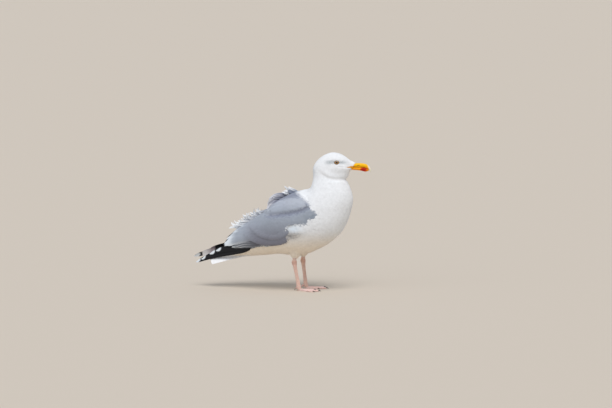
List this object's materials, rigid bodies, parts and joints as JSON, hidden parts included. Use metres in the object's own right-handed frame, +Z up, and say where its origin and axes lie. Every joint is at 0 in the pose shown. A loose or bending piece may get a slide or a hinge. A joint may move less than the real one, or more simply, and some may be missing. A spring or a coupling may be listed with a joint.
{
  "type": "adult European herring gull in breeding plumage",
  "caption": "Large white seabird with a grey back and wings and black wing tips, standing still on webbed feet, head raised and looking ahead, wings folded, the back feathers lifted by wind.",
  "frame": {"origin": "on the ground, under the middle of the bird's bounding box", "axes": "+X forward, the way the body and the bill face; +Y towards the bird's left; +Z up"},
  "size_m": [0.4908, 0.144, 0.3663],
  "materials": {
    "white_plumage": "soft matt contour feathers",
    "grey_plumage": "smooth matt contour feathers",
    "black_plumage": "firm vanes with a faint sheen",
    "bill_horn": "smooth horn, satin",
    "eye": "wet, clear and glossy over a pale iris",
    "leg_skin": "scaled skin, satin",
    "claw_horn": "dark horn, satin"
  },
  "bodies": {
    "root": {"thigh_right": "white_plumage", "thigh_left": "white_plumage", "tail": "white_plumage", "trunk": "white_plumage", "neck": "white_plumage", "head": "white_plumage", "wing_right": "grey_plumage", "wing_left": "grey_plumage", "scapulars_right": "grey_plumage", "scapulars_left": "grey_plumage", "nape_tuft": "grey_plumage", "back_wave": "grey_plumage", "tertial_fringe": "grey_plumage", "wingtip_right": "black_plumage", "wingtip_left": "black_plumage", "bill_upper": "bill_horn", "bill_lower": "bill_horn", "eye_right": "eye", "eye_left": "eye", "shank_right": "leg_skin", "shank_left": "leg_skin", "foot_right": "leg_skin", "foot_left": "leg_skin", "claw_inner_right": "claw_horn", "claw_middle_right": "claw_horn", "claw_outer_right": "claw_horn", "claw_hind_right": "claw_horn", "claw_inner_left": "claw_horn", "claw_middle_left": "claw_horn", "claw_outer_left": "claw_horn", "claw_hind_left": "claw_horn"}
  },
  "joints": []
}
